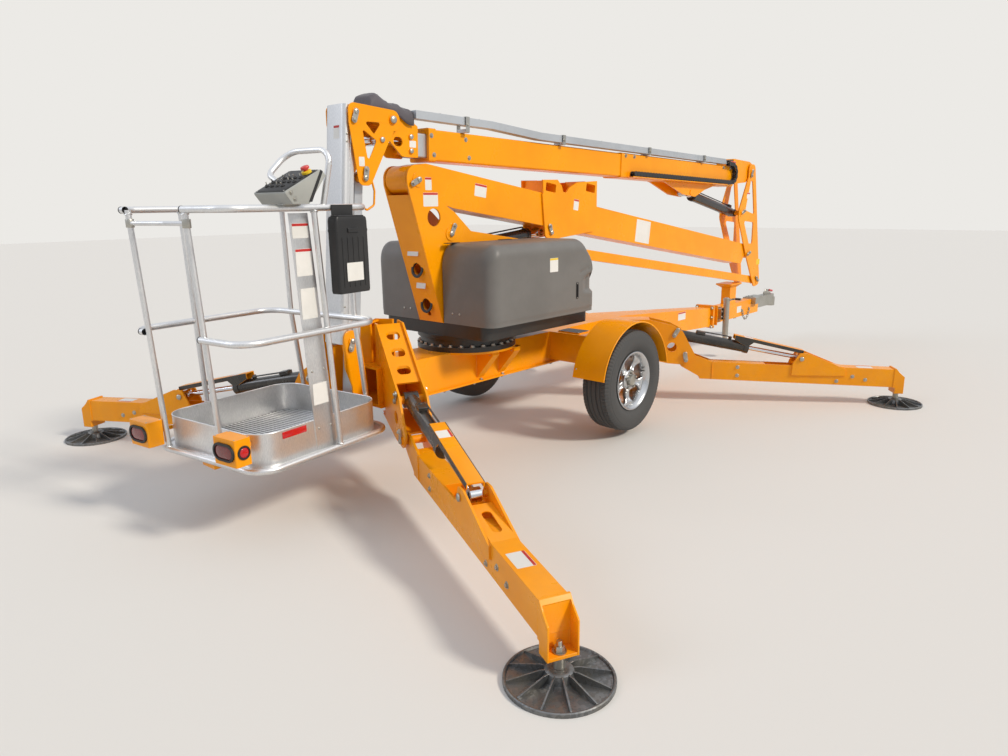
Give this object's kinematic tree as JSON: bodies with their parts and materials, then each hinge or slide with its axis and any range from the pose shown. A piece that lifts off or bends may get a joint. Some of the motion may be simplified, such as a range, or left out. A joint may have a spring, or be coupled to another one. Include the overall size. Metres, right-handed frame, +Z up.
{
  "type": "articulating boom lift",
  "caption": "Towable articulating boom lift standing on deployed outriggers, its booms and jib folded above the frame and an aluminium work basket hanging level at the rear.",
  "frame": {"origin": "on the ground, under the middle of the bounding box", "axes": "+X towards the tow coupler, +Y to the left of travel, +Z up"},
  "size_m": [7.4046, 4.6478, 2.207],
  "materials": {
    "yellow_paint": "semi-gloss",
    "grey_cover": "satin",
    "black_paint": "satin",
    "tyre_rubber": "matte",
    "alloy_rim": "machined",
    "zinc_steel": "zinc plated",
    "galvanised_steel": "galvanised",
    "ram_paint": "semi-gloss",
    "chrome_rod": "polished",
    "silver_paint": "satin",
    "bare_aluminium": "mill finish",
    "lamp_housing": "semi-gloss",
    "black_plastic": "grained",
    "black_fabric": "woven"
  },
  "bodies": {
    "chassis": {"chassis_frame": "yellow_paint", "axle_beam": "yellow_paint", "fenders": "yellow_paint", "tongue": "yellow_paint", "drawbar": "yellow_paint", "coupler": "zinc_steel", "jack": "zinc_steel", "turntable": "black_paint", "tower": "yellow_paint", "hoods": "grey_cover", "outrigger_brackets": "yellow_paint"},
    "wheel_left": {"tyre_left": "tyre_rubber", "rim_left": "alloy_rim"},
    "wheel_right": {"tyre_right": "tyre_rubber", "rim_right": "alloy_rim"},
    "lower_boom": {"lower_boom": "yellow_paint"},
    "tie_bar": {"tie_bar": "yellow_paint"},
    "lower_lift_barrel": {"lower_lift_barrel": "ram_paint"},
    "lower_lift_rod": {"lower_lift_rod": "chrome_rod"},
    "link": {"link": "yellow_paint"},
    "upper_lift_barrel": {"upper_lift_barrel": "ram_paint"},
    "upper_lift_rod": {"upper_lift_rod": "chrome_rod"},
    "upper_boom": {"upper_boom": "yellow_paint", "cable_tray": "silver_paint", "energy_chain": "black_plastic"},
    "inner_boom": {"inner_boom": "silver_paint", "boom_head": "yellow_paint", "level_cylinder": "ram_paint", "boom_cover": "black_fabric"},
    "level_rod": {"level_rod": "chrome_rod"},
    "knuckle": {"knuckle": "yellow_paint"},
    "jib_mast": {"jib_mast": "silver_paint"},
    "jib_tie": {"jib_tie": "silver_paint"},
    "basket": {"basket_bracket": "yellow_paint", "basket_tray": "bare_aluminium", "basket_rails": "bare_aluminium", "tail_lamps": "lamp_housing", "console": "black_plastic", "document_box": "black_plastic"},
    "leg_rear_left": {"leg_rear_left": "yellow_paint", "foot_rear_left": "galvanised_steel"},
    "ram_barrel_rear_left": {"ram_barrel_rear_left": "ram_paint"},
    "ram_rod_rear_left": {"ram_rod_rear_left": "chrome_rod"},
    "leg_rear_right": {"leg_rear_right": "yellow_paint", "foot_rear_right": "galvanised_steel"},
    "ram_barrel_rear_right": {"ram_barrel_rear_right": "ram_paint"},
    "ram_rod_rear_right": {"ram_rod_rear_right": "chrome_rod"},
    "leg_front_left": {"leg_front_left": "yellow_paint", "foot_front_left": "galvanised_steel"},
    "ram_barrel_front_left": {"ram_barrel_front_left": "ram_paint"},
    "ram_rod_front_left": {"ram_rod_front_left": "chrome_rod"},
    "leg_front_right": {"leg_front_right": "yellow_paint", "foot_front_right": "galvanised_steel"},
    "ram_barrel_front_right": {"ram_barrel_front_right": "ram_paint"},
    "ram_rod_front_right": {"ram_rod_front_right": "chrome_rod"}
  },
  "joints": [
    {"name": "wheel_left_spin", "type": "hinge", "parent": "chassis", "child": "wheel_left", "pos_m": [-0.8325, 0.752, 0.402], "axis": [0, 1, 0], "continuous": true},
    {"name": "wheel_right_spin", "type": "hinge", "parent": "chassis", "child": "wheel_right", "pos_m": [-0.8325, -0.752, 0.402], "axis": [0, 1, 0], "continuous": true},
    {"name": "leg_rear_left_fold", "type": "hinge", "parent": "chassis", "child": "leg_rear_left", "pos_m": [-2.5925, 0.55, 0.36], "axis": [0.9017, 0.4324, 0], "range_deg": [-5, 92]},
    {"name": "ram_rear_left_swing", "type": "hinge", "parent": "chassis", "child": "ram_barrel_rear_left", "pos_m": [-2.54926, 0.45983, 0.563], "axis": [0.9017, 0.4324, 0], "range_deg": [-6, 94]},
    {"name": "ram_rear_left_stroke", "type": "slide", "parent": "ram_barrel_rear_left", "child": "ram_rod_rear_left", "axis": [-0.4252, 0.8868, -0.1812], "range_m": [-0.34, 0.02]},
    {"name": "leg_rear_right_fold", "type": "hinge", "parent": "chassis", "child": "leg_rear_right", "pos_m": [-2.5925, -0.55, 0.36], "axis": [-0.9017, 0.4324, 0], "range_deg": [-5, 92]},
    {"name": "ram_rear_right_swing", "type": "hinge", "parent": "chassis", "child": "ram_barrel_rear_right", "pos_m": [-2.54926, -0.45983, 0.563], "axis": [-0.9017, 0.4324, 0], "range_deg": [-6, 94]},
    {"name": "ram_rear_right_stroke", "type": "slide", "parent": "ram_barrel_rear_right", "child": "ram_rod_rear_right", "axis": [-0.4252, -0.8868, -0.1812], "range_m": [-0.34, 0.02]},
    {"name": "leg_front_left_fold", "type": "hinge", "parent": "chassis", "child": "leg_front_left", "pos_m": [0.2675, 0.65, 0.36], "axis": [0.8199, -0.5725, 0], "range_deg": [-5, 92]},
    {"name": "ram_front_left_swing", "type": "hinge", "parent": "chassis", "child": "ram_barrel_front_left", "pos_m": [0.21025, 0.56801, 0.563], "axis": [0.8199, -0.5725, 0], "range_deg": [-6, 94]},
    {"name": "ram_front_left_stroke", "type": "slide", "parent": "ram_barrel_front_left", "child": "ram_rod_front_left", "axis": [0.563, 0.8063, -0.1812], "range_m": [-0.34, 0.02]},
    {"name": "leg_front_right_fold", "type": "hinge", "parent": "chassis", "child": "leg_front_right", "pos_m": [0.2675, -0.65, 0.36], "axis": [-0.8199, -0.5725, 0], "range_deg": [-5, 92]},
    {"name": "ram_front_right_swing", "type": "hinge", "parent": "chassis", "child": "ram_barrel_front_right", "pos_m": [0.21025, -0.56801, 0.563], "axis": [-0.8199, -0.5725, 0], "range_deg": [-6, 94]},
    {"name": "ram_front_right_stroke", "type": "slide", "parent": "ram_barrel_front_right", "child": "ram_rod_front_right", "axis": [0.563, -0.8063, -0.1812], "range_m": [-0.34, 0.02]},
    {"name": "lower_boom_lift", "type": "hinge", "parent": "chassis", "child": "lower_boom", "pos_m": [-2.1185, 0, 1.768], "axis": [0, -1, 0], "range_deg": [0, 78]},
    {"name": "tie_bar_swing", "type": "hinge", "parent": "chassis", "child": "tie_bar", "pos_m": [-1.8605, 0, 1.442], "axis": [0, -1, 0], "range_deg": [0, 78]},
    {"name": "link_level", "type": "hinge", "parent": "lower_boom", "child": "link", "pos_m": [2.6595, 0, 1.076], "axis": [0, -1, 0], "range_deg": [-78, 0]},
    {"name": "lower_lift_swing", "type": "hinge", "parent": "chassis", "child": "lower_lift_barrel", "pos_m": [-1.7825, 0, 1.32], "axis": [0, -1, 0], "range_deg": [0, 75]},
    {"name": "lower_lift_stroke", "type": "slide", "parent": "lower_lift_barrel", "child": "lower_lift_rod", "axis": [0.9954, 0, 0.0963], "range_m": [0, 0.71]},
    {"name": "upper_boom_lift", "type": "hinge", "parent": "link", "child": "upper_boom", "pos_m": [2.6015, 0, 1.93], "axis": [0, 1, 0], "range_deg": [0, 75]},
    {"name": "upper_lift_swing", "type": "hinge", "parent": "link", "child": "upper_lift_barrel", "pos_m": [2.4075, 0, 1.5], "axis": [0, 1, 0], "range_deg": [0, 69]},
    {"name": "upper_lift_stroke", "type": "slide", "parent": "upper_lift_barrel", "child": "upper_lift_rod", "axis": [-0.9821, 0, 0.1884], "range_m": [0, 0.55]},
    {"name": "boom_extend", "type": "slide", "parent": "upper_boom", "child": "inner_boom", "axis": [-0.9997, 0, 0.0256], "range_m": [0, 2.8]},
    {"name": "knuckle_level", "type": "hinge", "parent": "inner_boom", "child": "knuckle", "pos_m": [-2.28992, 0, 2.09328], "axis": [0, 1, 0], "range_deg": [-75, 0]},
    {"name": "level_stroke", "type": "slide", "parent": "inner_boom", "child": "level_rod", "axis": [-0.9997, 0, 0.0256], "range_m": [-0.18, 0]},
    {"name": "jib_lift", "type": "hinge", "parent": "knuckle", "child": "jib_mast", "pos_m": [-2.5465, 0, 2.118], "axis": [0, 1, 0], "range_deg": [0, 135]},
    {"name": "jib_tie_swing", "type": "hinge", "parent": "knuckle", "child": "jib_tie", "pos_m": [-2.5055, 0, 1.771], "axis": [0, 1, 0], "range_deg": [0, 135]},
    {"name": "basket_level", "type": "hinge", "parent": "jib_mast", "child": "basket", "pos_m": [-2.66155, 0, 0.86828], "axis": [0, 1, 0], "range_deg": [-135, 0]}
  ],
  "couplings": [
    {"joint": "ram_rear_left_swing", "follows": "leg_rear_left_fold", "ratio": 1.01},
    {"joint": "ram_rear_left_stroke", "follows": "leg_rear_left_fold", "m_per_rad": -0.21},
    {"joint": "ram_rear_right_swing", "follows": "leg_rear_right_fold", "ratio": 1.01},
    {"joint": "ram_rear_right_stroke", "follows": "leg_rear_right_fold", "m_per_rad": -0.21},
    {"joint": "ram_front_left_swing", "follows": "leg_front_left_fold", "ratio": 1.01},
    {"joint": "ram_front_left_stroke", "follows": "leg_front_left_fold", "m_per_rad": -0.21},
    {"joint": "ram_front_right_swing", "follows": "leg_front_right_fold", "ratio": 1.01},
    {"joint": "ram_front_right_stroke", "follows": "leg_front_right_fold", "m_per_rad": -0.21},
    {"joint": "tie_bar_swing", "follows": "lower_boom_lift", "ratio": 1},
    {"joint": "link_level", "follows": "lower_boom_lift", "ratio": -1},
    {"joint": "lower_lift_swing", "follows": "lower_boom_lift", "ratio": 0.957},
    {"joint": "lower_lift_stroke", "follows": "lower_boom_lift", "m_per_rad": 0.515},
    {"joint": "upper_lift_swing", "follows": "upper_boom_lift", "ratio": 0.9},
    {"joint": "upper_lift_stroke", "follows": "upper_boom_lift", "m_per_rad": 0.413},
    {"joint": "knuckle_level", "follows": "upper_boom_lift", "ratio": -1},
    {"joint": "level_stroke", "follows": "upper_boom_lift", "m_per_rad": -0.127},
    {"joint": "jib_tie_swing", "follows": "jib_lift", "ratio": 1},
    {"joint": "basket_level", "follows": "jib_lift", "ratio": -1}
  ]
}
